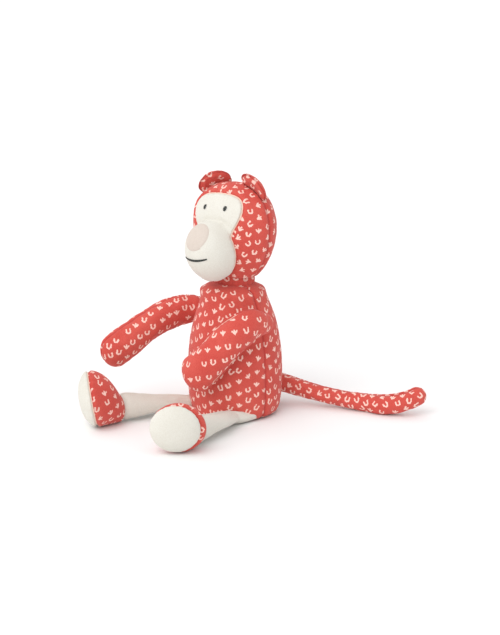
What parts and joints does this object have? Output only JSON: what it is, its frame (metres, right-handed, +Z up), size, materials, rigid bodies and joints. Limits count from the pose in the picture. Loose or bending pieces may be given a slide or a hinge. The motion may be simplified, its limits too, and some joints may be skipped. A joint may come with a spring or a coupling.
{
  "type": "stuffed monkey",
  "caption": "Seated stuffed monkey in printed jersey with a cream face, legs and soles, posable limbs, floppy ears and a long tail.",
  "frame": {"origin": "middle of the flat seat panel, on the surface that the monkey sits on", "axes": "+Z up; the body faces -Y; +X is on the side of the monkey's left hand"},
  "size_m": [0.2263, 0.291, 0.2443],
  "materials": {
    "print_jersey": "brushed cotton jersey, coral red with small pale pink brush marks",
    "cream_jersey": "plain cream cotton jersey",
    "nose_jersey": "pale pink appliqué patch",
    "black_thread": "black satin-stitch embroidery",
    "fibre_filling": "white polyester fibre filling"
  },
  "bodies": {
    "torso": {"body_front_panel": "print_jersey", "body_back_panel": "print_jersey", "seat_panel": "print_jersey", "bean_pouch": "fibre_filling", "body_filling": "fibre_filling"},
    "neck": {"neck_ball": "print_jersey"},
    "head": {"face_panel": "cream_jersey", "hood_front_panel": "print_jersey", "hood_back_panel": "print_jersey", "head_filling": "fibre_filling", "muzzle_cover": "cream_jersey", "muzzle_filling": "fibre_filling", "nose_patch": "nose_jersey", "mouth_embroidery": "black_thread", "eye_left": "black_thread", "eye_right": "black_thread"},
    "ear_left": {"ear_left_back": "print_jersey", "ear_left_filling": "fibre_filling", "ear_left_front": "print_jersey"},
    "shoulder_left": {"shoulder_left_wad": "fibre_filling"},
    "arm_left": {"arm_left_filling": "fibre_filling", "arm_left_inner": "print_jersey", "arm_left_outer": "print_jersey"},
    "hip_left": {"hip_left_wad": "fibre_filling"},
    "leg_left": {"foot_left_filling": "fibre_filling", "foot_left_sole": "cream_jersey", "foot_left_upper": "print_jersey", "leg_left_filling": "fibre_filling", "leg_left_inner": "cream_jersey", "leg_left_outer": "cream_jersey"},
    "ear_right": {"ear_right_back": "print_jersey", "ear_right_filling": "fibre_filling", "ear_right_front": "print_jersey"},
    "shoulder_right": {"shoulder_right_wad": "fibre_filling"},
    "arm_right": {"arm_right_filling": "fibre_filling", "arm_right_inner": "print_jersey", "arm_right_outer": "print_jersey"},
    "hip_right": {"hip_right_wad": "fibre_filling"},
    "leg_right": {"foot_right_filling": "fibre_filling", "foot_right_sole": "cream_jersey", "foot_right_upper": "print_jersey", "leg_right_filling": "fibre_filling", "leg_right_inner": "cream_jersey", "leg_right_outer": "cream_jersey"},
    "tail_root": {"tail_root_wad": "fibre_filling"},
    "tail_base": {"tail_base_filling": "fibre_filling", "tail_base_left": "print_jersey", "tail_base_right": "print_jersey"},
    "tail_tip": {"tail_tip_filling": "fibre_filling", "tail_tip_left": "print_jersey", "tail_tip_right": "print_jersey"}
  },
  "joints": [
    {"name": "neck_turn", "type": "hinge", "parent": "torso", "child": "neck", "pos_m": [0, 0, 0.136], "axis": [0, 0, 1], "range_deg": [-60, 60]},
    {"name": "head_nod", "type": "hinge", "parent": "neck", "child": "head", "pos_m": [0, 0, 0.136], "axis": [0.9914, 0.1305, 0], "range_deg": [-12, 15]},
    {"name": "ear_left_flop", "type": "hinge", "parent": "head", "child": "ear_left", "pos_m": [0.02583, 0.00231, 0.22834], "axis": [0.8408, 0.1107, -0.5299], "range_deg": [-15, 15]},
    {"name": "ear_right_flop", "type": "hinge", "parent": "head", "child": "ear_right", "pos_m": [-0.02544, -0.00479, 0.22805], "axis": [0.6548, 0.5905, 0.4717], "range_deg": [-15, 15]},
    {"name": "arm_left_swing", "type": "hinge", "parent": "torso", "child": "shoulder_left", "pos_m": [0.04438, -0.00223, 0.099], "axis": [0, 0, 1], "range_deg": [0, 70]},
    {"name": "arm_left_lift", "type": "hinge", "parent": "shoulder_left", "child": "arm_left", "pos_m": [0.04438, -0.00223, 0.099], "axis": [-0.8466, 0.5323, 0], "range_deg": [-4, 45]},
    {"name": "arm_right_swing", "type": "hinge", "parent": "torso", "child": "shoulder_right", "pos_m": [-0.04438, -0.00223, 0.099], "axis": [0, 0, -1], "range_deg": [-3, 50]},
    {"name": "arm_right_lift", "type": "hinge", "parent": "shoulder_right", "child": "arm_right", "pos_m": [-0.04438, -0.00223, 0.099], "axis": [-0.955, 0.2967, 0], "range_deg": [-5, 30]},
    {"name": "leg_left_splay", "type": "hinge", "parent": "torso", "child": "hip_left", "pos_m": [0.03383, -0.03363, 0.011], "axis": [0, 0, 1], "range_deg": [-20, 30]},
    {"name": "leg_left_lift", "type": "hinge", "parent": "hip_left", "child": "leg_left", "pos_m": [0.03383, -0.03363, 0.011], "axis": [-0.9397, -0.342, 0], "range_deg": [0, 17]},
    {"name": "leg_right_splay", "type": "hinge", "parent": "torso", "child": "hip_right", "pos_m": [-0.03383, -0.03363, 0.011], "axis": [0, 0, -1], "range_deg": [-10, 30]},
    {"name": "leg_right_lift", "type": "hinge", "parent": "hip_right", "child": "leg_right", "pos_m": [-0.03383, -0.03363, 0.011], "axis": [-0.9877, 0.1564, 0], "range_deg": [0, 14]},
    {"name": "tail_swing", "type": "hinge", "parent": "torso", "child": "tail_root", "pos_m": [0, 0.04746, 0.0235], "axis": [0, 0, 1], "range_deg": [-6, 80]},
    {"name": "tail_lift", "type": "hinge", "parent": "tail_root", "child": "tail_base", "pos_m": [0, 0.04746, 0.0235], "axis": [0.4788, -0.8779, 0], "range_deg": [0, 19]},
    {"name": "tail_bend", "type": "hinge", "parent": "tail_base", "child": "tail_tip", "pos_m": [0.088, 0.09546, 0.0097], "axis": [0, 0, 1], "range_deg": [-40, 40]}
  ]
}
